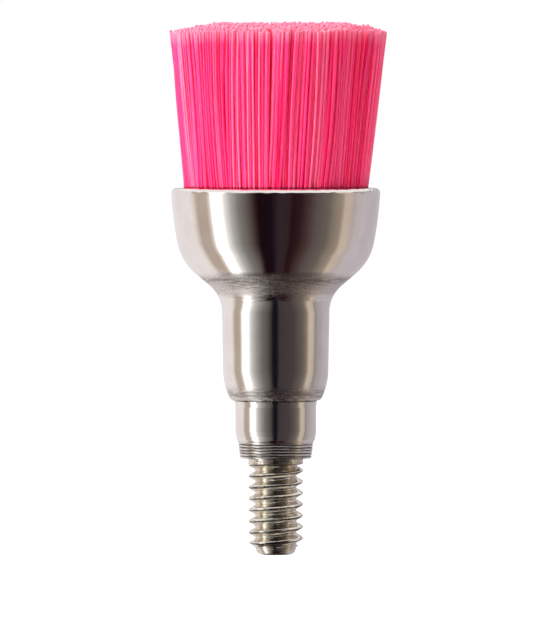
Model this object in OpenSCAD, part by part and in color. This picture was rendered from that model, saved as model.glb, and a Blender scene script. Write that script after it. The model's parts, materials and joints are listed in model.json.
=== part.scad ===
// Screw-type prophy brush: a drawn metal ferrule on a threaded stud, holding a bundle of nylon bristles.
// Millimetres. The origin is on the axis, at the shoulder that seats on the handpiece, and +Z runs to the tips.

/* [Thread] */
// Major diameter of the thread
thread_d = 1.7; // [1.5:0.05:1.9]
// Distance from one thread crest to the next
thread_pitch = 0.35; // [0.3:0.05:0.4]
// Length of the stud below its shoulder
stud_len = 3; // [2:0.1:5]
// Diameter of the flat end of the stud
stud_end_d = 0.82; // [0.6:0.02:0.9]

/* [Collar] */
// Diameter of the shoulder that seats on the handpiece
shoulder_d = 2.22; // [2.1:0.02:2.3]
// Diameter of the collar between the shoulder and the ferrule
collar_d = 2.5; // [2.4:0.02:2.56]
// Height of the collar up to the lip of the ferrule
collar_h = 1.8; // [1.5:0.05:1.95]
// Height of the finely grooved band above the shoulder
grip_h = 0.5; // [0.4:0.05:0.55]
// Number of fine grooves in that band
grip_grooves = 5; // [2:1:6]

/* [Ferrule] */
// Outside diameter of the cup at its rim
cup_d = 6.5; // [6.3:0.1:7]
// Height of the rim above the shoulder
rim_z = 8.37; // [8:0.05:9]
// Outside diameter of the neck where it joins the cup
neck_d = 3.33; // [3.3:0.01:3.4]
// Thickness of the cup's wall
cup_wall = 0.35; // [0.25:0.01:0.4]
// Thickness of the neck's wall
neck_wall = 0.26; // [0.2:0.01:0.3]
// Radius of the hollow fillet between neck and cup
fillet_r = 1.08; // [0.9:0.02:1.2]
// Radius of the bowl's round
bowl_r = 1.67; // [1.5:0.01:1.8]
// Slope of the cup's lower wall, measured from the axis
bowl_slope = 49.4; // [46:0.2:52]

/* [Bristles] */
// Height of the tips above the shoulder, on the axis
tip_z = 13.48; // [12:0.02:15]
// Diameter across the tips
tip_d = 6.84; // [6.2:0.02:7.4]
// How far the outermost tips stand below those on the axis
tip_dome = 0.38; // [0.1:0.02:0.6]
// Clearance between neighbouring tufts at the rim
tuft_gap = 0.05; // [0.03:0.01:0.08]

/* [Hidden] */
$fn = 96;

nickel = [0.78, 0.75, 0.72];
warm_nickel = [0.70, 0.64, 0.52];
steel_wire = [0.62, 0.62, 0.64];
pink = [0.98, 0.30, 0.53];
pale_pink = [1.00, 0.47, 0.66];
deep_pink = [0.86, 0.10, 0.33];

arc_step = 4;          // degrees between the points of a rounded outline
clear = 0.02;          // play between pieces that lie against each other inside the ferrule
over = 1;              // how far an outline that cuts reaches past the faces that it cuts

// Thread
thread_r = thread_d / 2;
flank_angle = 30;      // lean of each flank, from the plane across the axis
depth_share = 0.6134;  // depth of the thread, as a share of its pitch
root_r = thread_r - depth_share * thread_pitch;
journal_h = 0.22;      // plain full-diameter band under the shoulder
nose_round = 0.22;     // round from the stud's flat end up to the core of the thread
chamfer_h = 0.38;      // height of the nose and the lead-in cone above it
land_h = 0.12;         // last full-diameter band above the lead-in
thread_start = 0.03;   // how far below the stud's end the thread's first root would pass +X
crest_play = 0.005;    // how far the thread's crests stay inside the two full bands
turn_steps = 32;       // columns of the thread's surface in one turn
thread_rise = thread_r - crest_play - root_r;
crest_share = 0.125;   // of the pitch
flank_share = thread_rise * tan(flank_angle) / thread_pitch;
root_share = 1 - crest_share - 2 * flank_share;
thread_bottom = -stud_len + chamfer_h + land_h / 2;
thread_top = -journal_h / 2;
thread_base = -stud_len - thread_start;

// The thread's form along one pitch: where each corner lies, and its share of the thread's depth.
thread_form = [[0, 0], [root_share, 0], [root_share + flank_share, 1], [1 - flank_share, 1], [1, 0]];
pitch_rows = len(thread_form) - 1;
thread_rows = pitch_rows * ceil((thread_top - thread_base) / thread_pitch);

// Collar and head
shoulder_r = shoulder_d / 2;
collar_r = collar_d / 2;
grip_taper = 0.06;     // how much wider the grooved band is at its top
grip_margin = 0.3;     // plain edge above and below the grooves, as a share of their pitch
groove_d = 0.03;       // depth of one fine groove
groove_share = 0.5;    // of the pitch that one groove takes up
groove_pitch = grip_h / (grip_grooves + 2 * grip_margin);
step_h = 0.07;         // short cone from the grooved band out to the collar
taper_w = 0.04;        // how much narrower the collar is just above that cone
taper_h = 0.24;        // height over which the collar reaches its full radius
seat_w = 0.03;         // how far the collar widens into the lip's seat
seat_h = 0.2;          // height over which it widens
seat_r = collar_r + seat_w;
lip_z = collar_h;
lip_h = 0.5;           // how far the ferrule's lip grips the collar's seat
lip_top = lip_z + lip_h;
head_z = lip_top + clear;
head_h = 2;            // height of the head that the lip traps in the neck
head_chamfer = 0.15;
head_top = head_z + head_h;

// Ferrule
cup_r = cup_d / 2;
neck_r = neck_d / 2;
neck_draw = 0.033;     // how much narrower the neck is at its lower end
neck_low_r = neck_r - neck_draw;
side_r = 11.3;         // radius of the cup's faintly barrelled side
side_top_slope = 2.3;  // lean of the side at the rim, from the axis
side_low_slope = 10.9; // lean of the side where the bowl's round begins
rim_round = 0.14;      // round of the rim's outer edge
mouth_round = 0.1;     // round of the rim's inner edge
hip_r = 2;             // radius of the long round at the neck's lower end
hip_z = 2.75;          // where that round begins
lip_round = 0.12;      // small round at the mouth of the lip
lip_play = 0.01;       // the lip closes on the collar's seat with this play
mouth_h = 0.4;         // straight length of the cup's mouth

// A rounded stretch of an outline: points on a circle about [r, z], from one bearing to another.
function arc(r, z, radius, from, to) =
    let (count = max(2, ceil(abs(to - from) / arc_step)))
    [for (i = [0:count]) let (a = from + (to - from) * i / count) [r + radius * cos(a), z + radius * sin(a)]];

// The side's circle touches the rim, the bowl's circle touches the side, and a cone joins the bowl to the fillet.
side_c = [cup_r - side_r * cos(side_top_slope), rim_z + side_r * sin(side_top_slope)];
bowl_top = [side_c[0] + side_r * cos(side_low_slope), side_c[1] - side_r * sin(side_low_slope)];
bowl_c = [bowl_top[0] - bowl_r * cos(side_low_slope), bowl_top[1] + bowl_r * sin(side_low_slope)];
cone_top = [bowl_c[0] + bowl_r * cos(bowl_slope), bowl_c[1] - bowl_r * sin(bowl_slope)];
cone_low_r = neck_r + fillet_r * (1 - cos(bowl_slope));
cone_low_z = cone_top[1] - (cone_top[0] - cone_low_r) / tan(bowl_slope);
fillet_c = [neck_r + fillet_r, cone_low_z - fillet_r * sin(bowl_slope)];
hip_c = [neck_low_r - hip_r, hip_z];

// The small rounds at the lip and at the rim touch the hip's circle and the side's circle from within.
hip_end = asin((lip_z + lip_round - hip_z) / (hip_r - lip_round));
lip_c = [hip_c[0] + (hip_r - lip_round) * cos(hip_end), lip_z + lip_round];
side_end = asin((rim_z - rim_round - side_c[1]) / (side_r - rim_round));
rim_c = side_c + (side_r - rim_round) * [cos(side_end), sin(side_end)];

bore_r = neck_r - neck_wall;
mouth_r = cup_r - cup_wall;

function outer_wall() = concat(
    arc(lip_c[0], lip_c[1], lip_round, -90, hip_end),
    arc(hip_c[0], hip_c[1], hip_r, hip_end, 0),
    bowl_wall(0, 0),
    arc(side_c[0], side_c[1], side_r, -side_low_slope, side_end),
    arc(rim_c[0], rim_c[1], rim_round, side_end, 90)
);

// Fillet and bowl, moved inwards by one thickness at the neck and by another at the cup.
function bowl_wall(at_neck, at_cup) = concat(
    arc(fillet_c[0], fillet_c[1], fillet_r + at_neck, 180, 180 - bowl_slope),
    arc(bowl_c[0], bowl_c[1], bowl_r - at_cup, -bowl_slope, -side_low_slope)
);

function inner_wall() = concat(
    [[seat_r + lip_play, lip_z - over], [seat_r + lip_play, lip_top], [bore_r, lip_top]],
    bowl_wall(neck_wall, cup_wall),
    [[mouth_r, rim_z - mouth_h]],
    arc(mouth_r + mouth_round, rim_z - mouth_round, mouth_round, 180, 90),
    [[mouth_r + mouth_round, rim_z + over], [0, rim_z + over], [0, lip_z - over]]
);

// Bristles
tip_r = tip_d / 2;
tip_steps = 4;         // straight steps in the domed outline of a tuft's tips
rim_gap = 0.03;        // the tufts start this far above the rim, so that they can bend out over it
rim_bristle_r = mouth_r - clear;
flare = (tip_r - rim_bristle_r) / (tip_z - tip_dome - rim_z);
tuft_z = rim_z + rim_gap;
core_r = 0.9;          // radius of the core tuft at the rim
ring_r = 1.9;          // radius where the inner tufts meet the outer ones
inner_count = 6;
outer_count = 12;
wire_d = 0.3;
wire_fn = 32;
anchor_r = 1.25;       // radius of the anchor ring's centre line
anchor_z = 5.55;

// How much wider the bundle is at a height than at the rim, and how high the tips are at a radius.
function spread(z) = 1 + (z - rim_z) * flare / rim_bristle_r;
function tip_height(r) = tip_z - tip_dome * pow(r / tip_r, 2);
function tip_point(rim_radius) =
    let (z = tip_height(rim_radius * spread(tip_z - tip_dome / 2)))
    [rim_radius * spread(z), z];

// One tuft's outline in a half plane, between two radii measured at the rim.
function tuft_outline(r_in, r_out) = concat(
    [[r_in * spread(tuft_z), tuft_z], [r_out * spread(tuft_z), tuft_z]],
    [for (i = [tip_steps:-1:0]) tip_point(r_in + (r_out - r_in) * i / tip_steps)]
);

// Radius of the threaded surface at a bearing and a height. The thread is right-handed.
function thread_radius(a, z) =
    let (turns = (z - thread_base) / thread_pitch - a / 360)
    root_r + thread_rise * lookup(turns - floor(turns), thread_form);

// A point of one row of the thread: rows follow the helix, and stop at the flat ends.
function thread_point(row, column) =
    let (
        a = 360 * column / turn_steps,
        along = floor(row / pitch_rows) + thread_form[row % pitch_rows][0] + column / turn_steps,
        z = min(max(thread_base + thread_pitch * along, thread_bottom), thread_top),
        r = thread_radius(a, z)
    )
    [r * cos(a), r * sin(a), z];

// After a whole turn a row meets the one that lies a pitch above it.
function thread_index(row, column) =
    column < turn_steps ? row * turn_steps + column : min(row + pitch_rows, thread_rows) * turn_steps;

// The threaded length as one closed surface, with both ends inside the full-diameter bands.
module thread_body() {
    points = [for (row = [0:thread_rows], column = [0:turn_steps - 1]) thread_point(row, column)];
    sides = [
        for (row = [0:thread_rows - 1], column = [0:turn_steps - 1])
            let (
                a = thread_index(row, column),
                b = thread_index(row, column + 1),
                c = thread_index(row + 1, column + 1),
                d = thread_index(row + 1, column)
            )
            each [[a, c, b], [a, d, c]]
    ];
    whole = [
        for (f = sides)
            let (a = points[f[0]], b = points[f[1]], c = points[f[2]])
            if (a != b && b != c && c != a) f
    ];
    count = len(points);
    top = thread_rows * turn_steps;
    ends = [
        for (column = [0:turn_steps - 1])
            let (next = (column + 1) % turn_steps)
            each [[count, column, next], [count + 1, top + next, top + column]]
    ];
    middles = [[0, 0, thread_bottom], [0, 0, thread_top]];
    polyhedron(concat(points, middles), concat(whole, ends), convexity = 10);
}

module screw_stud() {
    grooves = [
        for (i = [0:grip_grooves - 1])
            let (
                z = groove_pitch * (i + grip_margin + 1 / 2),
                r = shoulder_r + grip_taper * z / grip_h,
                half = groove_pitch * groove_share / 2
            )
            each [[r, z - half], [r - groove_d, z], [r, z + half]]
    ];
    hub = concat(
        [[0, -journal_h], [thread_r, -journal_h], [thread_r, 0], [shoulder_r, 0]],
        grooves,
        [[shoulder_r + grip_taper, grip_h], [collar_r - taper_w, grip_h + step_h]],
        [[collar_r, grip_h + step_h + taper_h], [collar_r, collar_h - seat_h], [seat_r, collar_h]],
        [[seat_r, head_z], [bore_r - clear, head_z], [bore_r - clear, head_top - head_chamfer]],
        [[bore_r - clear - head_chamfer, head_top], [0, head_top]]
    );
    tip = concat(
        [[0, -stud_len]],
        arc(stud_end_d / 2, -stud_len + nose_round, nose_round, -90, 0),
        [[thread_r, -stud_len + chamfer_h], [thread_r, -stud_len + chamfer_h + land_h]],
        [[0, -stud_len + chamfer_h + land_h]]
    );
    color(warm_nickel)
    union() {
        rotate_extrude() polygon(hub);
        rotate_extrude() polygon(tip);
        thread_body();
    }
}

module ferrule() {
    color(nickel)
    rotate_extrude()
    difference() {
        polygon(concat([[0, lip_z]], outer_wall(), [[0, rim_z]]));
        polygon(inner_wall());
    }
}

module anchor_ring() {
    color(steel_wire)
    translate([0, 0, anchor_z])
    rotate_extrude()
    translate([anchor_r, 0])
    circle(d = wire_d, $fn = wire_fn);
}

// The doubled ends of the filaments, packed into the cup and around the ring.
module bristle_root() {
    color(deep_pink)
    rotate_extrude()
    difference() {
        polygon(concat(
            [[0, head_top + clear], [bore_r - clear, head_top + clear]],
            bowl_wall(neck_wall + clear, cup_wall + clear),
            [[rim_bristle_r, rim_z - mouth_h], [rim_bristle_r, rim_z], [0, rim_z]]
        ));
        translate([anchor_r, anchor_z]) circle(d = wire_d + 2 * clear, $fn = wire_fn);
    }
}

module core_tuft() {
    color(pale_pink)
    rotate_extrude()
    polygon(concat(
        [[0, rim_z], [core_r - tuft_gap / 2, rim_z]],
        [for (i = [tip_steps:-1:0]) tip_point((core_r - tuft_gap / 2) * i / tip_steps)]
    ));
}

// One tuft of a ring: a wedge of the bundle that bends outwards on its own.
module tuft(index, count, r_in, r_out) {
    sector = 360 / count;
    gap = tuft_gap / ((r_in + r_out) / 2) * 180 / PI;
    rotate([0, 0, sector * (index - 1) - (sector - gap) / 2])
    rotate_extrude(angle = sector - gap)
    polygon(tuft_outline(r_in, r_out));
}

module inner_tuft(index) {
    color(pale_pink)
    tuft(index, inner_count, core_r + tuft_gap / 2, ring_r - tuft_gap / 2);
}

module outer_tuft(index) {
    color(pink)
    tuft(index, outer_count, ring_r + tuft_gap / 2, rim_bristle_r);
}

screw_stud();
ferrule();
anchor_ring();
bristle_root();
core_tuft();
inner_tuft(1);  // inner_tuft_01
inner_tuft(2);  // inner_tuft_02
inner_tuft(3);  // inner_tuft_03
inner_tuft(4);  // inner_tuft_04
inner_tuft(5);  // inner_tuft_05
inner_tuft(6);  // inner_tuft_06
outer_tuft(1);  // outer_tuft_01
outer_tuft(2);  // outer_tuft_02
outer_tuft(3);  // outer_tuft_03
outer_tuft(4);  // outer_tuft_04
outer_tuft(5);  // outer_tuft_05
outer_tuft(6);  // outer_tuft_06
outer_tuft(7);  // outer_tuft_07
outer_tuft(8);  // outer_tuft_08
outer_tuft(9);  // outer_tuft_09
outer_tuft(10);  // outer_tuft_10
outer_tuft(11);  // outer_tuft_11
outer_tuft(12);  // outer_tuft_12
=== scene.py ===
import json
import math

import bpy
import numpy as np
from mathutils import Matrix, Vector


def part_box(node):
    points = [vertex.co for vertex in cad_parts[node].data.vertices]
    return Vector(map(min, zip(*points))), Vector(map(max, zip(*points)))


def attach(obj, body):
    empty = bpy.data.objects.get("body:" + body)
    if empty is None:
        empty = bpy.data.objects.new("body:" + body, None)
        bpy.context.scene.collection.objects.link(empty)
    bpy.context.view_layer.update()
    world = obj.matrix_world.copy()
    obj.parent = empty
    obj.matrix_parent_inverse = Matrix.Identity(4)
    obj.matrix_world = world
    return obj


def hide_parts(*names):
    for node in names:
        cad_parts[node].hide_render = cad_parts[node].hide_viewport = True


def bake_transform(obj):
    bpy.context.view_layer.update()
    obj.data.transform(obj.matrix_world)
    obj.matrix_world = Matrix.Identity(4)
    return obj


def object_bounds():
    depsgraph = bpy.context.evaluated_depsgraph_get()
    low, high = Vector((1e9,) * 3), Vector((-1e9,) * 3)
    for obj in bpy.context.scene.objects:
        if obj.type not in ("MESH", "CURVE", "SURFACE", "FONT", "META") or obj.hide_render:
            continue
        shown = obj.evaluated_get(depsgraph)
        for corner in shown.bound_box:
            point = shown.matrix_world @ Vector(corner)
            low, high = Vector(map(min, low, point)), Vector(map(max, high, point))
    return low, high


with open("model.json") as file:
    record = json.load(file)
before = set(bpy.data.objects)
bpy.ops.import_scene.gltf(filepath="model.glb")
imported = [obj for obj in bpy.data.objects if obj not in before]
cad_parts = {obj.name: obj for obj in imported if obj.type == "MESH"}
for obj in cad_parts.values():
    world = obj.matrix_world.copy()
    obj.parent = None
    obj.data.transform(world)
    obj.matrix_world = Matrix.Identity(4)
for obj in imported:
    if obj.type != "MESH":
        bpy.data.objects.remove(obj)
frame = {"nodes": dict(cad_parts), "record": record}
cad_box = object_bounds()
random = np.random.default_rng(41)

MM = 0.001
TAU = 2 * math.pi
SHORTEST = 1e-9  # two points closer than this, in metres, count as one

# ---- Sizes from the frame -----------------------------------------------------------------------

MOUNTS = {m["name"]: m for m in frame["record"]["mounts"]}
THREAD_R = MOUNTS["stud_thread"]["dims"]["r_mm"] * MM
CUP_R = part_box("ferrule")[1].x
RIM_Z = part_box("ferrule")[1].z
LIP_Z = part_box("ferrule")[0].z
STUD_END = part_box("screw_stud")[0].z
HEAD_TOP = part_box("screw_stud")[1].z
HEAD_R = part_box("screw_stud")[1].x
TIP_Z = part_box("core_tuft")[1].z
TIP_R = cad_box[1].x

# ---- Sizes that the frame doesn't state, as in the CAD ------------------------------------------

CUP_WALL = 0.35 * MM
NECK_WALL = 0.26 * MM
NECK_R = 1.665 * MM
NECK_LOW_R = 1.632 * MM
FILLET_R = 1.08 * MM
BOWL_R = 1.67 * MM
SIDE_R = 11.3 * MM
HIP_R = 2.0 * MM
HIP_Z = 2.75 * MM
LIP_ROUND = 0.12 * MM
LIP_H = 0.5 * MM
RIM_ROUND = 0.14 * MM
MOUTH_ROUND = 0.1 * MM
MOUTH_DEPTH = 0.4 * MM
# Slopes of the cup's outline, in degrees from upright.
BOWL_SLOPE = 49.4
SIDE_LOW_SLOPE = 10.9
SIDE_TOP_SLOPE = 2.3

PITCH = 0.35 * MM
ROOT_R = THREAD_R - 0.6134 * PITCH
FLANK_ANGLE = 30  # degrees
CREST_SHARE = 0.15  # of the pitch
CREST_BLUR = 0.026 * MM
THREAD_START = 0.03 * MM
NOSE_ROUND = 0.22 * MM
CHAMFER_H = 0.38 * MM
STUD_END_R = 0.41 * MM
SHOULDER_R = 1.11 * MM
COLLAR_R = 1.25 * MM
SEAT_R = 1.28 * MM
SEAT_GAP = 0.01 * MM
GRIP_H = 0.5 * MM
GRIP_TAPER = 0.06 * MM
GROOVES = 5
GROOVE_DEPTH = 0.03 * MM

MOUTH_R = CUP_R - CUP_WALL
CORE_R = 0.9 * MM
RING_R = 1.9 * MM
INNER_COUNT = 6
OUTER_COUNT = 12
LEAN = 0.07 * MM  # of the whole bundle's tips, to the right


# ---- Mesh helpers -------------------------------------------------------------------------------


def new_object(name, vertices, faces, smooth=True):
    """A mesh object from arrays of points and a list of faces."""
    mesh = bpy.data.meshes.new(name)
    mesh.from_pydata(vertices.tolist(), [], faces)
    mesh.validate()
    if smooth:
        mesh.shade_smooth()
    thing = bpy.data.objects.new(name, mesh)
    bpy.context.scene.collection.objects.link(thing)
    return thing


def arc(centre, radius, start, end, step=1.5):
    """Points on a circle, from one bearing to another in degrees."""
    count = max(2, math.ceil(abs(end - start) / step))
    bearings = np.radians(np.linspace(start, end, count + 1))
    return [(centre[0] + radius * math.cos(b), centre[1] + radius * math.sin(b)) for b in bearings]


def refine(outline, spacing):
    """The outline with extra points, so that no step is longer than spacing(z) says."""
    points = [outline[0]]
    for (r0, z0), (r1, z1) in zip(outline, outline[1:]):
        length = math.hypot(r1 - r0, z1 - z0)
        if length < SHORTEST:
            continue
        count = max(1, math.ceil(length / spacing((z0 + z1) / 2)))
        for i in range(1, count + 1):
            points.append((r0 + (r1 - r0) * i / count, z0 + (z1 - z0) * i / count))
    return points


def ring_faces(low, high, count):
    """The faces between two rings of points, given the first point of each."""
    following = [(k + 1) % count for k in range(count)]
    return [(low + k, low + after, high + after, high + k) for k, after in enumerate(following)]


def lathe(name, outline, segments, closed, shift=None, reshape=None):
    """A turned shape. reshape(angle, r, z) gives the radius where it isn't round, and
    shift(angle, z, r) gives how far the surface stands out along the outline's normal."""
    points = np.array(outline)
    rings = len(points)
    angle = np.arange(segments) * TAU / segments
    if closed:
        ahead, behind = np.roll(points, -1, 0), np.roll(points, 1, 0)
    else:
        ahead = np.vstack([points[1:], points[-1:]])
        behind = np.vstack([points[:1], points[:-1]])
    run = ahead - behind
    run /= np.maximum(np.linalg.norm(run, axis=1, keepdims=True), SHORTEST)
    r = np.repeat(points[:, :1], segments, 1)
    z = np.repeat(points[:, 1:], segments, 1)
    a = np.repeat(angle[None, :], rings, 0)
    if reshape:
        r = reshape(a, r, z)
    if shift:
        out = shift(a, z, r)
        r = r + out * run[:, 1:2]
        z = z - out * run[:, :1]
    vertices = np.stack([r * np.cos(a), r * np.sin(a), z], -1).reshape(-1, 3)
    faces = []
    for i in range(rings if closed else rings - 1):
        faces += ring_faces(i * segments, (i + 1) % rings * segments, segments)
    if not closed:
        last = (rings - 1) * segments
        faces.append(tuple(range(segments - 1, -1, -1)))
        faces.append(tuple(range(last, last + segments)))
    return new_object(name, vertices, faces)


def waves(count, around, along, seed, lead=0.0):
    """A random field on a turned surface, as a sum of waves, about 1 in height. around is the range
    of whole waves in a turn, and along is the range of wavelengths on the axis. With a lead, the
    waves follow a thread of that pitch."""
    draw = np.random.default_rng(seed)
    turns = draw.integers(around[0], around[1] + 1, count) * draw.choice([-1, 1], count)
    wavelength = draw.uniform(along[0], along[1], count)
    turns = turns - np.round(lead / wavelength)
    pitch = TAU / wavelength
    phase = draw.uniform(0, TAU, count)

    def field(a, z):
        total = np.zeros_like(a)
        for n, p, start in zip(turns, pitch, phase):
            total += np.cos(n * a + p * z + start)
        return total / math.sqrt(count / 2)

    return field


def ease(x):
    """From 0 to 1 with no corners."""
    return x * x * (3 - 2 * x)


def hump(z, low, high, edge):
    """1 between two heights, falling smoothly to 0 over edge on both sides."""
    rise = np.clip((z - low) / edge, 0, 1)
    fall = np.clip((high - z) / edge, 0, 1)
    return ease(np.minimum(rise, fall))


# ---- Ferrule ------------------------------------------------------------------------------------


def ferrule_outline():
    """The ferrule's outline, outside from the lip up and inside from the rim down, and the height
    at which the neck meets the fillet below the cup."""
    low, top, slope = (math.radians(x) for x in (SIDE_LOW_SLOPE, SIDE_TOP_SLOPE, BOWL_SLOPE))
    side = (CUP_R - SIDE_R * math.cos(top), RIM_Z + SIDE_R * math.sin(top))
    bowl_top = (side[0] + SIDE_R * math.cos(low), side[1] - SIDE_R * math.sin(low))
    bowl = (bowl_top[0] - BOWL_R * math.cos(low), bowl_top[1] + BOWL_R * math.sin(low))
    cone_top = (bowl[0] + BOWL_R * math.cos(slope), bowl[1] - BOWL_R * math.sin(slope))
    cone_low_r = NECK_R + FILLET_R * (1 - math.cos(slope))
    cone_low_z = cone_top[1] - (cone_top[0] - cone_low_r) / math.tan(slope)
    fillet = (NECK_R + FILLET_R, cone_low_z - FILLET_R * math.sin(slope))
    hip = (NECK_LOW_R - HIP_R, HIP_Z)
    hip_end = math.asin((LIP_Z + LIP_ROUND - HIP_Z) / (HIP_R - LIP_ROUND))
    lip = (hip[0] + (HIP_R - LIP_ROUND) * math.cos(hip_end), LIP_Z + LIP_ROUND)
    side_end = math.asin((RIM_Z - RIM_ROUND - side[1]) / (SIDE_R - RIM_ROUND))
    rim = (side[0] + (SIDE_R - RIM_ROUND) * math.cos(side_end), RIM_Z - RIM_ROUND)
    bore_r, eye_r = NECK_R - NECK_WALL, SEAT_R + SEAT_GAP

    outside = (
        arc(lip, LIP_ROUND, -90, math.degrees(hip_end), step=6)
        + arc(hip, HIP_R, math.degrees(hip_end), 0)
        + arc(fillet, FILLET_R, 180, 180 - BOWL_SLOPE)
        + arc(bowl, BOWL_R, -BOWL_SLOPE, -SIDE_LOW_SLOPE)
        + arc(side, SIDE_R, -SIDE_LOW_SLOPE, math.degrees(side_end), step=0.5)
        + arc(rim, RIM_ROUND, math.degrees(side_end), 90, step=6)
    )
    inside = (
        arc((MOUTH_R + MOUTH_ROUND, RIM_Z - MOUTH_ROUND), MOUTH_ROUND, 90, 180, step=10)
        + [(MOUTH_R, RIM_Z - MOUTH_DEPTH)]
        + arc(bowl, BOWL_R - CUP_WALL, -SIDE_LOW_SLOPE, -BOWL_SLOPE, step=4)
        + arc(fillet, FILLET_R + NECK_WALL, 180 - BOWL_SLOPE, 180, step=4)
        + [(bore_r, LIP_Z + LIP_H), (eye_r, LIP_Z + LIP_H), (eye_r, LIP_Z)]
    )
    return outside, inside, fillet[1]


def make_ferrule():
    """The drawn shell, faintly creased where it was bent: below the cup and around its lip."""
    outside, inside, fillet_z = ferrule_outline()
    crease_low, crease_high = fillet_z + 0.22 * MM, fillet_z + 1.15 * MM
    lip_high, below_lip = LIP_Z + 0.65 * MM, LIP_Z - 1 * MM
    rim_low, above_rim = RIM_Z - 0.2 * MM, RIM_Z + 1 * MM

    def spacing(z):
        creased = crease_low < z < crease_high or z < lip_high or z > rim_low
        return 0.014 * MM if creased else 0.1 * MM

    outside = refine(outside, spacing)
    inside = refine(inside, lambda z: 0.3 * MM)
    fine = waves(90, (2, 22), (0.05 * MM, 0.16 * MM), 3)
    broad = waves(24, (2, 12), (0.3 * MM, 0.9 * MM), 4)
    dents = waves(12, (1, 5), (2 * MM, 6 * MM), 5)
    burr = waves(40, (6, 60), (0.3 * MM, 0.9 * MM), 6)
    lip_wave = waves(30, (3, 24), (0.08 * MM, 0.25 * MM), 7)
    # The relief's heights in millimetres, and the radii within which lies the smooth bore.
    cup_crease, lip_crease, rim_burr, lip_seam, dent = 0.0030, 0.0021, 0.0045, 0.003, 0.0005
    bore = [LIP_Z, HIP_Z, fillet_z, RIM_Z], [1.3 * MM, 1.5 * MM, 1.55 * MM, 3.0 * MM]

    def shift(a, z, r):
        below_cup = hump(z, crease_low, crease_high, 0.3 * MM)
        below_cup = below_cup * np.interp(z, [4.7 * MM, 5.4 * MM], [0.35, 1])
        at_lip = hump(z, below_lip, lip_high, 0.4 * MM)
        patch = np.clip(0.6 + 0.5 * broad(a, z), 0.1, 1.4)
        creases = (cup_crease * below_cup + lip_crease * at_lip) * patch * fine(a, z)
        at_rim = hump(z, rim_low + 0.02 * MM, above_rim, 0.06 * MM)
        at_seam = hump(z, below_lip, LIP_Z + 0.2 * MM, 0.08 * MM)
        edges = rim_burr * at_rim * burr(a, z) + lip_seam * at_seam * lip_wave(a, z)
        return (r > np.interp(z, *bore)) * (creases + edges + dent * dents(a, z)) * MM

    return lathe("ferrule_shell", outside + inside, 400, True, shift)


# ---- Stud ---------------------------------------------------------------------------------------


def thread_radius(a, z):
    """The right-hand thread's radius, with rounded crests and roots."""
    rise = THREAD_R - ROOT_R
    flank = rise * math.tan(math.radians(FLANK_ANGLE)) / PITCH
    root = 1 - CREST_SHARE - 2 * flank
    corners = [0, root, root + flank, 1 - flank, 1]
    blur = np.linspace(-CREST_BLUR, CREST_BLUR, 7)
    total = 0
    for offset in blur:
        turns = (z + offset - STUD_END + THREAD_START) / PITCH - a / TAU
        total = total + np.interp(turns - np.floor(turns), corners, [0, 0, 1, 1, 0])
    return ROOT_R + rise * total / len(blur)


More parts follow.
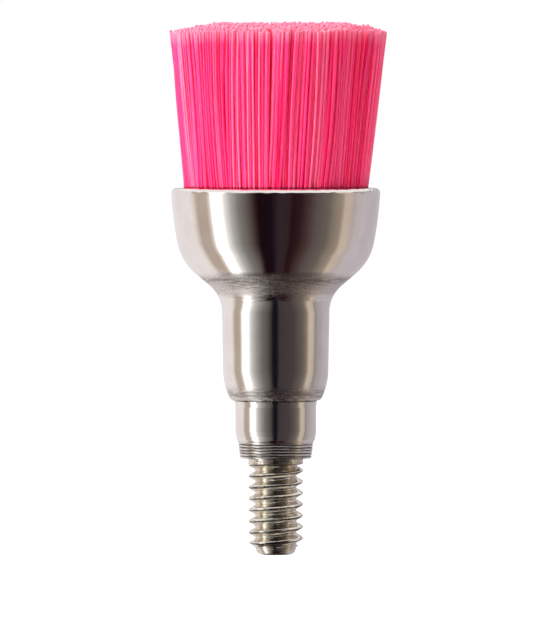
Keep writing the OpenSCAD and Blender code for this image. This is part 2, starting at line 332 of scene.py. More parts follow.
def make_stud():
    """The turned stud in one surface: thread, grooved shoulder, collar, and head in the neck."""
    # The plain margin beside the grooves, and a groove's width, as shares of their pitch.
    margin, share = 0.3, 0.5
    groove_pitch = GRIP_H / (GROOVES + 2 * margin)
    grip = []
    for i in range(GROOVES):
        z = groove_pitch * (i + margin + 0.5)
        r = SHOULDER_R + GRIP_TAPER * z / GRIP_H
        half = groove_pitch * share / 2
        grip += [(r, z - half), (r - GROOVE_DEPTH, z), (r, z + half)]
    pole_r, bevel, head_bevel = 0.02 * MM, 0.02 * MM, 0.15 * MM
    thread_top, seat_top = -0.004 * MM, LIP_Z + LIP_H + 0.02 * MM
    hub = (
        [(THREAD_R, thread_top), (THREAD_R, 0), (SHOULDER_R - bevel, 0), (SHOULDER_R, bevel)]
        + grip
        + [(SHOULDER_R + GRIP_TAPER, GRIP_H), (COLLAR_R - 0.04 * MM, GRIP_H + 0.07 * MM)]
        + [(COLLAR_R - 0.012 * MM, GRIP_H + 0.2 * MM), (COLLAR_R, GRIP_H + 0.34 * MM)]
        + [(COLLAR_R, LIP_Z - 0.2 * MM), (SEAT_R, LIP_Z), (SEAT_R, seat_top)]
        + [(HEAD_R, seat_top), (HEAD_R, HEAD_TOP - head_bevel)]
        + [(HEAD_R - head_bevel, HEAD_TOP), (pole_r, HEAD_TOP)]
    )
    nose = arc((STUD_END_R, STUD_END + NOSE_ROUND), NOSE_ROUND, -90, 0, step=8)
    outline = [(pole_r, STUD_END)] + nose + [(THREAD_R, thread_top)]
    outline = refine(outline, lambda z: 0.0075 * MM if z > STUD_END + 0.001 * MM else 0.05 * MM)
    outline += refine(hub, lambda z: 0.018 * MM if z < LIP_Z else 0.2 * MM)[1:]
    nose_r = STUD_END_R + NOSE_ROUND
    streaks = waves(70, (0, 3), (0.05 * MM, 0.13 * MM), 11, PITCH)
    nicks = waves(60, (8, 46), (0.25 * MM, 0.9 * MM), 12)
    scores = waves(80, (1, 12), (0.04 * MM, 0.09 * MM), 13)
    # The relief's heights in millimetres, and where the thread runs out below the shoulder.
    streak, nick, grip_score, seam_nick = 0.0036, 0.003, 0.0016, 0.001
    run_out, fade = 0.17 * MM, 0.07 * MM

    def reshape(a, r, z):
        rise = z - STUD_END
        nose_curve = np.sqrt(np.clip(NOSE_ROUND**2 - (NOSE_ROUND - rise) ** 2, 0, None))
        lead_in = nose_r + (THREAD_R - nose_r) * (rise - NOSE_ROUND) / (CHAMFER_H - NOSE_ROUND)
        end = np.where(rise < NOSE_ROUND, STUD_END_R + nose_curve, lead_in)
        journal = np.clip((z + run_out + fade) / fade, 0, 1)
        threaded = thread_radius(a, z)
        threaded = threaded + (THREAD_R - threaded) * ease(journal)
        crest = np.clip((threaded - ROOT_R) / (THREAD_R - ROOT_R), 0, 1)
        marks = streak * streaks(a, z) - nick * np.abs(nicks(a, z)) * crest
        threaded = np.minimum(threaded + marks * MM, THREAD_R + 0.003 * MM)
        threaded = np.minimum(threaded, end)
        in_thread = (z > STUD_END + 0.0005 * MM) & (z < -0.002 * MM) & (r > STUD_END_R)
        return np.where(in_thread, threaded, r)

    def shift(a, z, r):
        on_grip = hump(z, 0.02 * MM, GRIP_H + 0.06 * MM, 0.05 * MM)
        under_lip = hump(z, LIP_Z - 0.1 * MM, LIP_Z + 0.1 * MM, 0.05 * MM)
        return (grip_score * on_grip * scores(a, z) + seam_nick * under_lip * nicks(a, z)) * MM

    return lathe("stud", outline, 300, False, shift, reshape)


# ---- Bristles -----------------------------------------------------------------------------------


def strand_roots(pitch, radius):
    """Where the filaments cross the rim's plane: a loose triangular packing, (x, y) in metres."""
    looseness = 0.16
    reach = int(radius / pitch) + 2
    found = []
    for row in range(-reach - 4, reach + 5):
        y = row * pitch * math.sqrt(0.75)
        for column in range(-reach, reach + 1):
            found.append(((column + 0.5 * (row % 2)) * pitch, y))
    grid = np.array(found) + random.normal(0, looseness * pitch, (len(found), 2))
    return grid[np.hypot(grid[:, 0], grid[:, 1]) < radius]


def smooth_field(xy, size, seed):
    """A smooth random field over the bundle's section, about 1 in height."""
    count = 14
    draw = np.random.default_rng(seed)
    total = np.zeros(len(xy))
    for _ in range(count):
        way = draw.uniform(0, TAU)
        wave = TAU / (size * draw.uniform(0.6, 1.6))
        across = xy[:, 0] * math.cos(way) + xy[:, 1] * math.sin(way)
        total += np.cos(wave * across + draw.uniform(0, TAU))
    return total / math.sqrt(count / 2)


def strand_mesh(name, lines, radii, shades, sides=6):
    """Tubes along lines, an array of [strand, point, xyz]. Each tube's top is a cut face in the
    second material slot. Its shade, and the height along it, are stored as a colour."""
    twist = 1.7
    count, steps = lines.shape[:2]
    along = np.gradient(lines, axis=1)
    along /= np.linalg.norm(along, axis=2, keepdims=True)
    across = np.cross(along, np.array([0.0, 1.0, 0.0]))
    across /= np.linalg.norm(across, axis=2, keepdims=True)
    third = np.cross(along, across)
    angle = (np.arange(sides) * TAU / sides)[None, :] + np.arange(count)[:, None] * twist
    ring = (
        across[:, :, None, :] * np.cos(angle)[:, None, :, None]
        + third[:, :, None, :] * np.sin(angle)[:, None, :, None]
    )
    vertices = (lines[:, :, None, :] + ring * radii[:, None, None, None]).reshape(-1, 3)
    faces = []
    for s in range(count):
        first = s * steps * sides
        for i in range(steps - 1):
            faces += ring_faces(first + i * sides, first + (i + 1) * sides, sides)
        faces.append(tuple(range(first + sides - 1, first - 1, -1)))
        top = first + (steps - 1) * sides
        faces.append(tuple(range(top, top + sides)))
    tuft = new_object(name, vertices, faces)
    # A strand's last two faces are its ends, which are flat, and the very last is the cut one.
    per_strand = (steps - 1) * sides + 2
    slots = np.zeros(len(faces), np.int32)
    slots[per_strand - 1 :: per_strand] = 1
    tuft.data.polygons.foreach_set("material_index", slots)
    smooth = np.ones(len(faces), bool)
    smooth[per_strand - 1 :: per_strand] = False
    smooth[per_strand - 2 :: per_strand] = False
    tuft.data.polygons.foreach_set("use_smooth", smooth)
    shade = np.repeat(shades, steps * sides)
    height = np.tile(np.repeat(np.linspace(0, 1, steps), sides), count)
    colour = np.stack([shade, height, np.zeros_like(shade), np.ones_like(shade)], -1)
    attribute = tuft.data.color_attributes.new("strand", "FLOAT_COLOR", "POINT")
    attribute.data.foreach_set("color", colour.astype(np.float32).ravel())
    return tuft


def tuft_names(xy):
    """Which tuft each filament goes with. Neighbouring tufts mingle a little at their borders."""
    reach = np.hypot(xy[:, 0], xy[:, 1]) + random.normal(0, 0.06 * MM, len(xy))
    bearing = np.arctan2(xy[:, 1], xy[:, 0])
    strays = random.normal(0, 0.1, len(xy))
    names = []
    for r, b, stray in zip(reach, bearing, strays):
        if r < CORE_R:
            names.append("core_tuft")
        else:
            ring, count = ("inner", INNER_COUNT) if r < RING_R else ("outer", OUTER_COUNT)
            index = round(b / TAU * count + stray) % count + 1
            names.append(f"{ring}_tuft_{index:02d}")
    return np.array(names)


def tip_heights(xy, reach):
    """Where each filament is cut: a flat crown that falls away at its edge, with two low humps."""
    below_top, edge_fall, tilt = 0.03 * MM, 0.28 * MM, 0.006
    # The humps' places across the bundle, widths and heights, in millimetres.
    humps = (-1.5, 0.5, 0.045), (1.75, 0.45, 0.04)
    crown = TIP_Z - below_top - edge_fall * reach**3.4 + tilt * xy[:, 0]
    for centre, width, height in humps:
        crown += height * MM * np.exp(-(((xy[:, 0] / MM - centre) / width) ** 2))
    crown += 0.014 * MM * smooth_field(xy, 0.9 * MM, 21) + 0.024 * MM * random.normal(size=len(xy))
    return np.minimum(crown, TIP_Z + 0.05 * MM)


def make_bristles():
    """About 4,600 filaments, each a tube from inside the cup to its own cut end."""
    strand_r = 0.0365 * MM
    edge = MOUTH_R - strand_r - 0.015 * MM
    xy = strand_roots(0.08 * MM, edge)
    count = len(xy)
    reach = np.hypot(xy[:, 0], xy[:, 1]) / edge
    spread = (TIP_R - strand_r) / edge
    rise = tip_heights(xy, reach) - RIM_Z

    # Filaments lean in clumps, which open narrow gaps towards the tips, and a few lean astray.
    centres = strand_roots(0.5 * MM, edge)
    apart = xy[:, None, :] - centres[None, :, :]
    nearest = np.argmin(np.hypot(apart[:, :, 0], apart[:, :, 1]), axis=1)
    clump_lean = random.normal(0, 0.06 * MM, (len(centres), 2))[nearest]
    clump_bow = random.normal(0, 0.03 * MM, (len(centres), 2))[nearest]
    tighten = random.uniform(0.0, 0.1, len(centres))[nearest][:, None]
    own_lean = random.normal(0, 0.025 * MM, (count, 2))
    stray_share, stray_lean = 0.05, 4.5
    own_lean[random.uniform(size=count) < stray_share] *= stray_lean
    tip_xy = (xy + (centres[nearest] - xy) * tighten) * spread + clump_lean + own_lean
    far = np.hypot(tip_xy[:, 0], tip_xy[:, 1])
    limit = TIP_R - strand_r - 0.02 * MM
    tip_xy *= np.minimum(1, limit / far)[:, None]
    tip_xy[:, 0] += LEAN

    # A point inside the cup, one in the rim's plane, and seven along the free length, which bows.
    below = np.array([-0.3 * MM, 0])
    along = np.linspace(0, 1, 8)[1:]
    bow = clump_bow + random.normal(0, 0.018 * MM, (count, 2))
    lines = np.empty((count, len(below) + len(along), 3))
    for i, drop in enumerate(below):
        lines[:, i, :2] = xy
        lines[:, i, 2] = RIM_Z + drop
    for i, step in enumerate(along, len(below)):
        bowed = bow * (4 * step * (1 - step)) * reach[:, None] ** 2
        lines[:, i, :2] = xy + (tip_xy - xy) * step + bowed
        lines[:, i, 2] = RIM_Z + rise * step
    radii = strand_r * random.uniform(0.88, 1.08, count)

    # The shade runs from deep to pale, and a few filaments are as pale as they come.
    middle, own_part, shared_part, pale_share = 0.47, 0.16, 0.17, 0.08
    own_shade = own_part * random.normal(size=count)
    shades = middle + own_shade + shared_part * smooth_field(xy, 0.6 * MM, 24)
    shades = np.clip(shades, 0, 1)
    shades = np.where(random.uniform(size=count) < pale_share, 1.0, shades)

    names = tuft_names(xy)
    tufts = {}
    for name in sorted(set(names)):
        mine = names == name
        piece = name.replace("tuft", "strands")
        tufts[name] = strand_mesh(piece, lines[mine], radii[mine], shades[mine])
    return tufts


def make_root_strands():
    """The doubled ends of the filaments, from the anchor ring up to where they become free."""
    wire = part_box("anchor_ring")
    ring_r, ring_z = wire[1].x - 0.15 * MM, (wire[0].z + wire[1].z) / 2
    low_z, high_z = ring_z - 0.28 * MM, RIM_Z - 0.35 * MM
    xy = strand_roots(0.2 * MM, MOUTH_R - 0.1 * MM)
    bearing = np.arctan2(xy[:, 1], xy[:, 0])
    reach = np.hypot(xy[:, 0], xy[:, 1]) / MOUTH_R
    low_r = ring_r + (reach - 0.5) * 0.5 * MM
    steps = np.linspace(0, 1, 6)
    lines = np.empty((len(xy), len(steps), 3))
    for i, step in enumerate(steps):
        r = low_r + (reach * MOUTH_R - low_r) * ease(step)
        lines[:, i, 0] = r * np.cos(bearing)
        lines[:, i, 1] = r * np.sin(bearing)
        lines[:, i, 2] = low_z + (high_z - low_z) * step
    radii = np.full(len(xy), 0.075 * MM)
    return strand_mesh("root_strands", lines, radii, random.uniform(0, 1, len(xy)), sides=5)


# ---- Materials ----------------------------------------------------------------------------------


class Nodes:
    """A material's node tree, with short calls to add and link its nodes."""

    def __init__(self, name):
        self.material = bpy.data.materials.new(name)
        self.material.use_nodes = True
        self.tree = self.material.node_tree
        self.shader = self.tree.nodes["Principled BSDF"]

    def add(self, kind, values=None, **settings):
        node = self.tree.nodes.new("ShaderNode" + kind)
        for key, value in settings.items():
            setattr(node, key, value)
        for socket, value in (values or {}).items():
            self.put(node.inputs[socket], value)
        return node

    def put(self, socket, value):
        if isinstance(value, bpy.types.NodeSocket):
            self.tree.links.new(value, socket)
        else:
            socket.default_value = value

    def math(self, operation, a, b=0.0, clamp=False):
        node = self.add("Math", operation=operation, use_clamp=clamp)
        for socket, value in zip(node.inputs, (a, b)):
            self.put(socket, value)
        return node.outputs[0]

    def ramp(self, factor, *stops):
        node = self.add("ValToRGB", {"Fac": factor})
        ramp = node.color_ramp
        while len(ramp.elements) < len(stops):
            ramp.elements.new(0.5)
        for element, (position, colour) in zip(ramp.elements, stops):
            element.position = position
            element.color = (*colour, 1)
        return node.outputs["Color"]

    def between(self, value, low, high, to_low=0.0, to_high=1.0):
        node = self.add("MapRange", {"Value": value, "From Min": low, "From Max": high})
        node.inputs["To Min"].default_value = to_low
        node.inputs["To Max"].default_value = to_high
        return node.outputs["Result"]

    def within(self, value, rise, fall):
        """1 inside a range of values, and 0 outside it. rise and fall bound its two edges."""
        return self.math("MULTIPLY", self.between(value, *rise), self.between(value, *fall))

    def noise(self, scale, stretch, detail, roughness=0.55):
        """Noise in the row frame. scale is in waves per millimetre."""
        place = self.add("TexCoord").outputs["Object"]
        mapping = self.add("Mapping", {"Vector": place})
        mapping.inputs["Scale"].default_value = [s / MM for s in stretch]
        node = self.add("TexNoise", {"Vector": mapping.outputs["Vector"]})
        node.inputs["Scale"].default_value = scale
        node.inputs["Detail"].default_value = detail
        node.inputs["Roughness"].default_value = roughness
        return node.outputs["Fac"]

    def height_and_radius(self):
        """The height along the axis and the distance from it, in millimetres."""
        split = self.add("SeparateXYZ", {"Vector": self.add("TexCoord").outputs["Object"]})
        x_squared, y_squared = (self.math("POWER", split.outputs[axis], 2.0) for axis in "XY")
        square = self.math("ADD", x_squared, y_squared)
        radius = self.math("MULTIPLY", self.math("SQRT", square), 1 / MM)
        return self.math("MULTIPLY", split.outputs["Z"], 1 / MM), radius

    def blend(self, kind, factor, a, b):
        """Colour a blended with colour b. kind is a blend mode such as MIX or MULTIPLY."""
        node = self.add("Mix", data_type="RGBA", blend_type=kind)
        for socket, value in ((0, factor), (6, a), (7, b)):
            self.put(node.inputs[socket], value)
        return node.outputs[2]

    def bump(self, height, strength, distance):
        node = self.add("Bump", {"Height": height})
        node.inputs["Strength"].default_value = strength
        node.inputs["Distance"].default_value = distance
        self.tree.links.new(node.outputs["Normal"], self.shader.inputs["Normal"])

    def set(self, **values):
        for key, value in values.items():
            self.put(self.shader.inputs[key.replace("_", " ")], value)


def nickel_plate(n, cloud):
    """Clean nickel, a little uneven in colour."""
    return n.ramp(cloud, (0.3, (0.78, 0.735, 0.715)), (0.7, (0.86, 0.825, 0.80)))


def nickel_material():
    """Bright nickel plate: polished, faintly clouded, and dull and creased where it was bent, with
    painted shade in dark lines along the creases.
    """
    # Heights in millimetres: where the plate is dull, and where the painted shade in its
    # creases is darkest.
    fillet_rise, fillet_fall, lip_edge = (4.96, 5.14), (5.78, 5.6), (2.32, 2.04)
    fold_rise, fold_fall = (5.4, 5.53), (5.66, 5.56)
    hem_rise, hem_fall = (2.25, 2.08), (1.85, 1.95)
    n = Nodes("ferrule_nickel")
    height, _ = n.height_and_radius()
    fillet = n.within(height, fillet_rise, fillet_fall)
    bent = n.math("MAXIMUM", fillet, n.between(height, *lip_edge))
    cloud = n.noise(1.2, (1, 1, 1), 4.0)
    speck = n.noise(14.0, (1, 1, 2.2), 2.0)
    crease = n.noise(2.0, (0.55, 0.55, 6), 4.0, 0.6)
    plate = nickel_plate(n, cloud)
    plate = n.blend("MULTIPLY", n.math("MULTIPLY", fillet, 0.3), plate, (0.86, 0.82, 0.80, 1))
    # Painted shade: dark lines along the creases, strongest at the fold below the cup and at the
    # hem by the lip.
    clean, dark = (0.9, 0.9, 0.9), (0.12, 0.10, 0.09)
    painted_crease_shade = n.ramp(crease, (0.40, clean), (0.475, dark), (0.53, dark), (0.60, clean))
    fold = n.math("MULTIPLY", n.within(height, fold_rise, fold_fall), 0.45)
    hem = n.math("MULTIPLY", n.within(height, hem_rise, hem_fall), 0.45)
    creased = n.math("MULTIPLY", bent, n.math("ADD", 0.09, n.math("MAXIMUM", fold, hem)))
    plate = n.blend("MULTIPLY", creased, plate, painted_crease_shade)
    mottle = n.ramp(speck, (0.40, (0.35, 0.32, 0.30)), (0.50, (1, 1, 1)))
    plate = n.blend("MULTIPLY", n.math("MULTIPLY", bent, 0.45), plate, mottle)
    polish = n.between(cloud, 0.3, 0.7, 0.045, 0.085)
    dull = n.math("MULTIPLY", bent, n.between(speck, 0.35, 0.7, 0.24, 0.42))
    n.set(Base_Color=plate, Metallic=1.0, Roughness=n.math("ADD", polish, dull))
    lines = n.noise(3.0, (0.25, 0.25, 14), 2.0)
    grain = n.math("MULTIPLY", n.math("ADD", speck, crease), bent)
    n.bump(n.math("ADD", n.math("MULTIPLY", lines, 0.12), grain), 0.4, 0.004 * MM)
    return n.material


def stud_material():
    """Nickel plate on the turned stud: warmer on the thread, scored by the tool and dirty in
    patches on the grip, with painted shade in the grooves, under the flanks and at the seam below
    the ferrule."""
    # Heights in millimetres.
    thread_edge, grip_rise, grip_fall = (0.005, -0.01), (-0.005, 0.005), (0.56, 0.52)
    seam_rise, seam_fall = (1.755, 1.775), (1.9, 1.85)
    n = Nodes("stud_nickel")
    height, radius = n.height_and_radius()
    in_thread = n.between(height, *thread_edge)
    grip = n.within(height, grip_rise, grip_fall)
    cloud = n.noise(2.5, (1, 1, 1), 4.0)
    worn = n.noise(9.0, (1, 1, 3), 3.0)
    plain = nickel_plate(n, cloud)
    warm = n.ramp(cloud, (0.3, (0.80, 0.75, 0.66)), (0.7, (0.92, 0.88, 0.80)))
    score = n.noise(2.2, (0.5, 0.5, 8), 3.0, 0.6)
    scored = n.ramp(
        score, (0.34, (1, 1, 1)), (0.40, (0.30, 0.26, 0.22)), (0.45, (0.92, 0.9, 0.86)),
        (0.52, (1, 1, 1)), (0.56, (0.25, 0.21, 0.17)), (0.62, (1, 1, 1)),
    )
    threaded = n.blend("MULTIPLY", 0.55, warm, scored)
    normal = n.add("NewGeometry").outputs["Normal"]
    facing = n.add("SeparateXYZ", {"Vector": normal}).outputs["Z"]
    # Painted shade under the thread's crests, where the flanks face down.
    under = n.math("MULTIPLY", n.between(facing, -0.15, -0.5), n.between(radius, 0.765, 0.80))
    under = n.math("MULTIPLY", under, n.between(worn, 0.3, 0.45, 0.45, 0.95))
    threaded = n.blend("MIX", under, threaded, (0.06, 0.045, 0.035, 1))
    surface = n.blend("MIX", in_thread, plain, threaded)
    taper = n.math("MULTIPLY", height, GRIP_TAPER / GRIP_H)
    turned_r = n.math("ADD", SHOULDER_R / MM, taper)
    # Painted shade in the grooves, darker where the surface sinks below the turned radius.
    sunk = n.between(n.math("SUBTRACT", turned_r, radius), 0.003, 0.016)
    painted_groove_shade = n.math("MULTIPLY", sunk, n.between(worn, 0.3, 0.5, 0.5, 0.95))
    # Dirt along the tool's scores on the grip, joined with the painted groove shade.
    dirt_and_groove_shade = n.math("MAXIMUM", painted_groove_shade, n.between(score, 0.5, 0.64, 0.1, 0.75))
    dirt_and_groove_shade = n.math("MULTIPLY", grip, dirt_and_groove_shade)
    # Painted shade in the crevice at the seam below the ferrule's lip. marks joins it with the
    # grip's dirt and the painted groove shade.
    seam = n.within(height, seam_rise, seam_fall)
    seam = n.math("MULTIPLY", seam, n.between(worn, 0.4, 0.5, 0.3, 0.95))
    marks = n.math("MAXIMUM", dirt_and_groove_shade, seam)
    n.set(Base_Color=n.blend("MIX", marks, surface, (0.05, 0.035, 0.03, 1)), Metallic=1.0)
    turned = n.math("MAXIMUM", in_thread, grip)
    rough = n.math("MULTIPLY", turned, n.between(worn, 0.35, 0.7, 0.04, 0.16))
    n.set(Roughness=n.math("ADD", n.between(cloud, 0.3, 0.7, 0.05, 0.1), rough))
    lines = n.math("MULTIPLY", n.noise(4.0, (0.3, 0.3, 18), 2.0), 0.2)
    n.bump(n.math("ADD", lines, n.math("MULTIPLY", worn, rough)), 0.4, 0.004 * MM)
    return n.material


def wire_material():
    """Drawn steel wire."""
    n = Nodes("anchor_wire")
    drawn = n.noise(6.0, (1, 1, 6), 3.0)
    steel = n.ramp(drawn, (0.3, (0.5, 0.5, 0.52)), (0.7, (0.66, 0.66, 0.68)))
    n.set(Base_Color=steel, Metallic=1.0, Roughness=n.between(drawn, 0.3, 0.7, 0.25, 0.4))
    n.bump(drawn, 0.2, 0.004 * MM)
    return n.material


def nylon_material(cut=False):
    """Drawn nylon: each filament has its own shade of pink, a pale tip, painted shadow at its foot
    by the rim and a faint painted glow. A cut end is paler and rougher."""
    n = Nodes("bristle_cut_end" if cut else "bristle_nylon")
    strand = n.add("Attribute", attribute_name="strand")
    split = n.add("SeparateColor", {"Color": strand.outputs["Color"]})
    shade, height = split.outputs["Red"], split.outputs["Green"]
    grain = n.noise(10.0, (1, 1, 0.2), 3.0)
    if cut:
        speck = n.noise(22.0, (1, 1, 1), 3.0)
        low, middle, high = (0.60, 0.30, 0.39), (0.88, 0.64, 0.69), (0.93, 0.82, 0.84)
        colour = n.ramp(speck, (0.3, low), (0.5, middle), (0.75, high))
        n.set(Base_Color=colour, Roughness=n.between(grain, 0.3, 0.7, 0.45, 0.7))
        n.bump(speck, 0.5, 0.006 * MM)
    else:
        foot_shade_low, foot_shade_high = RIM_Z / MM + 0.03, RIM_Z / MM + 0.08
        mixed = n.math("ADD", n.math("MULTIPLY", shade, 0.8), n.math("MULTIPLY", grain, 0.2))
        deep, middle, pale = (0.88, 0.006, 0.115), (0.92, 0.024, 0.175), (0.96, 0.15, 0.29)
        colour = n.ramp(mixed, (0.0, deep), (0.5, middle), (1.0, pale))
        tip = n.math("MULTIPLY", n.between(height, 0.93, 1.0), 0.5)
        colour = n.blend("MIX", tip, colour, (0.96, 0.30, 0.42, 1))
        # Painted shadow at each filament's foot, just above the rim.
        foot = n.between(n.height_and_radius()[0], foot_shade_high, foot_shade_low)
        n.set(Base_Color=n.blend("MULTIPLY", foot, colour, (0.22, 0.10, 0.14, 1)))
        n.set(Roughness=n.between(grain, 0.3, 0.7, 0.3, 0.42), Specular_IOR_Level=0.4)
        n.set(Sheen_Weight=0.2, Sheen_Roughness=0.5, Sheen_Tint=(1.0, 0.9, 0.88, 1))
        # A faint deep pink painted glow, which lifts the shaded gaps between the filaments.
        n.set(Emission_Color=(1.0, 0.0, 0.12, 1), Emission_Strength=0.09)
        n.bump(grain, 0.15, 0.003 * MM)
    n.set(Subsurface_Weight=0.5, Subsurface_Scale=0.12 * MM)
    n.shader.inputs["Subsurface Radius"].default_value = (1.0, 0.25, 0.4)
    return n.material


def plain_material(name, colour, roughness):
    """A matt studio surface with a trace of unevenness."""
    n = Nodes(name)
    cloud = n.noise(0.05, (1, 1, 1), 3.0)
    low = tuple(c * 0.985 for c in colour)
    n.set(Base_Color=n.ramp(cloud, (0.3, low), (0.7, colour)), Roughness=roughness)
    return n.material


# ---- Studio -------------------------------------------------------------------------------------


def make_floor():
    """A pale matt floor, well below the stud."""
    half, floor_z = 4.0, STUD_END - 4.5 * MM
    corners = [(-half, -half), (half, -half), (half, half), (-half, half)]
    points = np.array([(x, y, floor_z) for x, y in corners])
    floor = new_object("floor", points, [(0, 1, 2, 3)], smooth=False)
    surface = plain_material("studio_floor", (0.98, 0.98, 0.98), 0.9)
    shader = surface.node_tree.nodes["Principled BSDF"]
    shader.inputs["Specular IOR Level"].default_value = 0
    shader.inputs["Emission Color"].default_value = (1, 1, 1, 1)
    shader.inputs["Emission Strength"].default_value = 0.05
    floor.data.materials.append(surface)
    floor.visible_glossy = False


GLOW_STRENGTH = 1.22
# What polished metal reflects, as (degrees round the brush, colour), with 0 at the front and less
# to the left. The lower bands have a broad dark gap. The tent and the card are painted with them.
GLOW_LEFT = (
    (-180, (0.48, 0.45, 0.47)), (-165, (0.73, 0.69, 0.71)), (-112, (0.77, 0.73, 0.72)),
    (-106, (0.66, 0.60, 0.55)), (-100, (0.43, 0.36, 0.31)), (-86, (0.45, 0.38, 0.32)),
    (-81, (0.72, 0.66, 0.62)),
)
GLOW_UPPER = GLOW_LEFT + (
    (-77, (1.5, 1.5, 1.5)), (-65, (1.5, 1.5, 1.48)), (-59, (0.80, 0.79, 0.77)),
    (-52, (0.50, 0.50, 0.49)), (-42, (0.29, 0.29, 0.28)), (-31, (0.16, 0.15, 0.14)),
    (-18, (0.09, 0.08, 0.08)), (-10, (0.035, 0.03, 0.03)), (-6, (0.008, 0.007, 0.010)),
    (3, (0.008, 0.007, 0.011)), (9, (0.045, 0.037, 0.04)), (40, (0.06, 0.05, 0.05)),
    (54, (0.10, 0.085, 0.08)), (64, (0.14, 0.12, 0.10)), (71, (0.22, 0.19, 0.15)),
    (79, (0.54, 0.47, 0.38)), (90, (0.49, 0.42, 0.36)), (95, (0.27, 0.25, 0.25)),
    (104, (0.35, 0.32, 0.32)), (130, (0.45, 0.41, 0.44)), (180, (0.48, 0.45, 0.47)),
)
GLOW_LOWER = GLOW_LEFT + (
    (-78, (1.5, 1.5, 1.5)), (-68, (1.5, 1.5, 1.48)), (-62, (0.80, 0.79, 0.77)),
    (-54, (0.40, 0.40, 0.39)), (-45, (0.20, 0.19, 0.175)), (-31, (0.075, 0.055, 0.05)),
    (-26, (0.027, 0.014, 0.015)), (-22, (0.010, 0.003, 0.005)), (-6, (0.009, 0.004, 0.008)),
    (5, (0.030, 0.018, 0.024)), (17, (0.030, 0.016, 0.018)), (22, (0.016, 0.006, 0.008)),
    (31, (0.025, 0.010, 0.012)), (41, (0.058, 0.034, 0.032)), (50, (0.096, 0.072, 0.073)),
    (65, (0.135, 0.115, 0.097)), (71, (0.20, 0.17, 0.14)), (82, (0.30, 0.24, 0.19)),
    (87, (0.50, 0.43, 0.35)), (93, (0.52, 0.42, 0.36)), (101, (0.43, 0.385, 0.365)),
    (108, (0.48, 0.44, 0.45)), (130, (0.49, 0.455, 0.50)), (180, (0.48, 0.45, 0.47)),
)


def bands(n, place, stops):
    """Upright bands of light. place runs from 0 to 1 round the brush, from the back by the left."""
    return n.ramp(place, *((degrees / 360 + 0.5, colour) for degrees, colour in stops))


def spread_out(n, place, drop):
    """The place from -0.5 to 0.5, taken to 0 to 1 and moved away from the front by up to 15 degrees
    as drop goes to 1. Within 20 degrees of the front it moves less."""
    most, near = 15 / 360, 20 / 360
    side = n.between(place, -near, near, -1.0, 1.0)
    apart = n.math("MULTIPLY", n.math("MULTIPLY", side, drop), most)
    return n.math("ADD", n.math("ADD", place, apart), 0.5, clamp=True)


def glowing(n, colour):
    """The finished material, which gives off the colour and reflects nothing."""
    n.set(Base_Color=(0, 0, 0, 1), Specular_IOR_Level=0.0)
    n.set(Emission_Color=colour, Emission_Strength=GLOW_STRENGTH)
    return n.material


def tent_material(radius):
    """The light tent. Its place (x, y, z) shows in a surface whose bearing is turn, for a viewer at
    the front, and drop grows with that surface's slope. Ahead of the brush the tent is painted by
    these two, so that each band keeps its bearing whatever the slope. Behind the brush its bands
    are upright."""
    n = Nodes("light_tent")
    split = n.add("SeparateXYZ", {"Vector": n.add("TexCoord").outputs["Object"]})
    x, y, z = (n.math("DIVIDE", split.outputs[axis], radius) for axis in "XYZ")
    turn = n.math("ARCTAN2", x, n.math("MAXIMUM", n.math("SUBTRACT", 1.0, y), 0.01))
    ahead = n.math("MAXIMUM", n.math("COSINE", turn), 0.01)
    drop = n.math("MULTIPLY", n.math("DIVIDE", z, ahead), -1.0)
    drop = n.math("MINIMUM", n.math("MAXIMUM", drop, 0.0), 1.0)
    hung = spread_out(n, n.math("MULTIPLY", turn, 2 / TAU), drop)
    bearing = n.math("ARCTAN2", x, n.math("MULTIPLY", y, -1.0))
    upright = n.math("ADD", n.math("DIVIDE", bearing, TAU), 0.5)
    steep = n.between(drop, 0.62, 0.72)
    glow = n.blend("MIX", steep, bands(n, hung, GLOW_UPPER), bands(n, hung, GLOW_LOWER))
    glow = n.blend("MIX", n.between(y, 0.3, 0.8), glow, bands(n, upright, GLOW_UPPER))
    # Behind the brush and 60 degrees down is a dark patch, which the steepest bends reflect.
    patch = n.math("SUBTRACT", n.math("MULTIPLY", y, 0.5), n.math("MULTIPLY", z, 0.866))
    patch = n.between(patch, 0.87, 0.96)
    return glowing(n, n.blend("MIX", patch, glow, (0.04, 0.034, 0.03, 1)))


def card_material(low, high):
    """The curved card's bands, which carry on the tent's lower ones. Because it is so close, each
    of its places shows in one place on the cup. level is the height straight ahead that shows at
    the same slope, and turn takes the card's bearing to twice the cup's. The card fades out at its
    top, foot and right end."""
    # Levels that show near the cup's rim, where its side ends, and where the tent takes over.
    top, middle, foot = 8.2, 6.07, 4.46
    n = Nodes("cup_card")
    split = n.add("SeparateXYZ", {"Vector": n.add("TexCoord").outputs["Object"]})
    height = n.math("DIVIDE", split.outputs["Z"], MM)
    bearing = n.math("ARCTAN2", split.outputs["X"], n.math("MULTIPLY", split.outputs["Y"], -1.0))
    square = n.math("MULTIPLY", bearing, bearing)
    rise = n.math("MULTIPLY", square, 0.45)
    rise = n.math("MULTIPLY", n.between(height, 6.4, 4.4, 0.0, 2.0), rise)
    level = n.math("SUBTRACT", height, rise)
    drop = n.between(level, top, middle, 0.11, 0.40)
    drop = n.math("ADD", drop, n.between(level, middle, foot, 0.0, 0.37))
    bend = n.math("MULTIPLY", square, n.between(level, foot, middle, 0.0, 0.043))
    less = n.math("ADD", bend, n.between(level, middle, foot, 0.0, 0.18))
    turn = n.math("SUBTRACT", n.between(level, top, middle, 1.565, 1.485), less)
    place = n.math("MULTIPLY", bearing, n.math("DIVIDE", turn, TAU))
    place = spread_out(n, place, drop)
    fade = n.within(height, (low, low + 0.3), (high, high - 0.1))
    right = n.between(bearing, math.radians(92), math.radians(82))
    n.set(Alpha=n.math("MULTIPLY", fade, right))
    return glowing(n, bands(n, place, GLOW_LOWER))


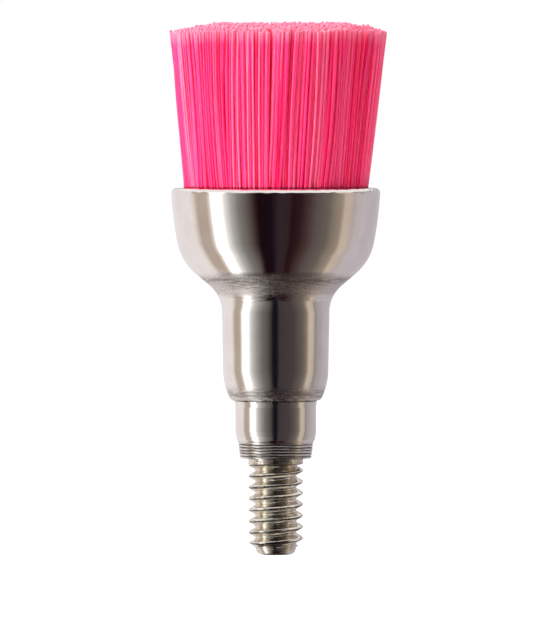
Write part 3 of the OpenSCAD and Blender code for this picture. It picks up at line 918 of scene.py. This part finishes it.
def make_tent():
    """A light tent that only reflections see: a bowl below the brush and a wall round it, open at
    the top."""
    radius, lowest, highest, step = 0.2, -89, 22, 5
    bearing = np.radians(np.arange(0, 360, step))
    rise = np.radians(np.append(np.arange(lowest, highest, step), highest))
    ring = np.stack([np.cos(bearing), np.sin(bearing)], -1)
    points = [(x * math.cos(e), y * math.cos(e), math.sin(e)) for e in rise for x, y in ring]
    count = len(bearing)
    faces = []
    for i in range(len(rise) - 1):
        faces += ring_faces(i * count, (i + 1) * count, count)
    faces.append(tuple(range(count - 1, -1, -1)))
    tent = new_object("light_tent", np.array(points) * radius, faces)
    tent.location = (0, 0, (STUD_END + TIP_Z) / 2)
    tent.data.materials.append(tent_material(radius))
    hide_but_from_reflections(tent)


def make_card():
    """A curved card close to the cup, at its front, which only reflections see. The neck looks
    under it. It is nearly as high as the cup's rim. Its heights are in millimetres."""
    radius, low, high = 4.5 * MM, 4.42, 8.36
    left, right, step = -62, 93, 2
    bearing = np.radians(np.arange(left, right, step))
    ring = [(radius * math.sin(b), -radius * math.cos(b)) for b in bearing]
    points = np.array([(x, y, z * MM) for z in (low, high) for x, y in ring])
    count = len(ring)
    faces = [(i, i + 1, i + 1 + count, i + count) for i in range(count - 1)]
    card = new_object("cup_card", points, faces)
    card.data.materials.append(card_material(low, high))
    hide_but_from_reflections(card)


def hide_but_from_reflections(thing):
    """Show the thing to glossy rays only."""
    thing.visible_camera = False
    thing.visible_diffuse = False
    thing.visible_shadow = False
    thing.visible_transmission = False


def make_lamp(name, place, size, power, colour=(1.0, 1.0, 1.0)):
    """A soft lamp aimed at the bristles. It has no reflection of its own."""
    aim = Vector((0, 0, 0.009))
    data = bpy.data.lights.new(name, "AREA")
    data.size = size
    data.energy = power
    data.color = colour
    lamp = bpy.data.objects.new(name, data)
    lamp.location = place
    lamp.rotation_euler = (aim - Vector(place)).to_track_quat("-Z", "Y").to_euler()
    lamp.visible_glossy = False
    bpy.context.scene.collection.objects.link(lamp)


def make_flag():
    """A dark card at the front right, which deepens the bristles on that side."""
    distance, half_width, low, high = 21 * MM, 16 * MM, 2 * MM, 22 * MM
    bearing = math.radians(35)
    middle = Vector((distance * math.sin(bearing), -distance * math.cos(bearing), 0))
    along = Vector((math.cos(bearing), math.sin(bearing), 0)) * half_width
    corners = [middle - along, middle + along]
    points = [(c.x, c.y, z) for z in (low, high) for c in corners]
    flag = new_object("flag", np.array(points), [(0, 1, 3, 2)], smooth=False)
    flag.data.materials.append(plain_material("flag_black", (0.01, 0.01, 0.01), 1.0))
    flag.visible_camera = False
    flag.visible_glossy = False


def make_lights():
    """Soft lamps from the left, the right and above, a flag, and an even white surround."""
    make_flag()
    make_lamp("key_left", (-0.14, -0.10, 0.05), 0.08, 0.44, (1.0, 0.97, 0.84))
    make_lamp("fill_right", (0.14, -0.10, 0.03), 0.10, 0.02)
    make_lamp("top", (0.0, 0.0, 0.19), 0.10, 0.08)
    world = bpy.data.worlds.new("studio")
    world.use_nodes = True
    background = world.node_tree.nodes["Background"]
    background.inputs["Color"].default_value = (1, 1, 1, 1)
    background.inputs["Strength"].default_value = 1.0
    bpy.context.scene.world = world


def make_camera():
    """A long lens, almost level with the brush, whose upright middle is a little off its axis."""
    distance, frame_height = 0.26, 19.84 * MM
    target, rise = Vector((0.07 * MM, 0, 4.28 * MM)), math.radians(1.5)
    data = bpy.data.cameras.new("camera")
    data.sensor_fit = "AUTO"
    data.sensor_width = 36
    data.lens = data.sensor_width * distance / frame_height
    data.clip_start, data.clip_end = 0.01, 5
    camera = bpy.data.objects.new("camera", data)
    bpy.context.scene.collection.objects.link(camera)
    back = Vector((0, -math.cos(rise), math.sin(rise)))
    camera.location = target + back * distance
    camera.rotation_euler = (-back).to_track_quat("-Z", "Y").to_euler()
    bpy.context.scene.camera = camera


# ---- The scene ----------------------------------------------------------------------------------

make_camera()
nickel, stud_metal, wire = nickel_material(), stud_material(), wire_material()
nylon, cut_end = nylon_material(), nylon_material(cut=True)

shell = make_ferrule()
shell.data.materials.append(nickel)
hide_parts("ferrule")
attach(shell, "hardware")

stud = make_stud()
stud.data.materials.append(stud_metal)
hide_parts("screw_stud")
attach(stud, "hardware")

for slot in frame["nodes"]["anchor_ring"].material_slots:
    slot.material = wire

strands = make_bristles()
strands["bristle_root"] = make_root_strands()
for name, piece in strands.items():
    piece.data.materials.append(nylon)
    piece.data.materials.append(cut_end)
    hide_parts(name)
    if name in ("core_tuft", "bristle_root"):
        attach(piece, "hardware")
    else:
        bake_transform(piece)

make_floor()
make_tent()
make_card()
make_lights()
bpy.context.scene.view_settings.view_transform = "Standard"
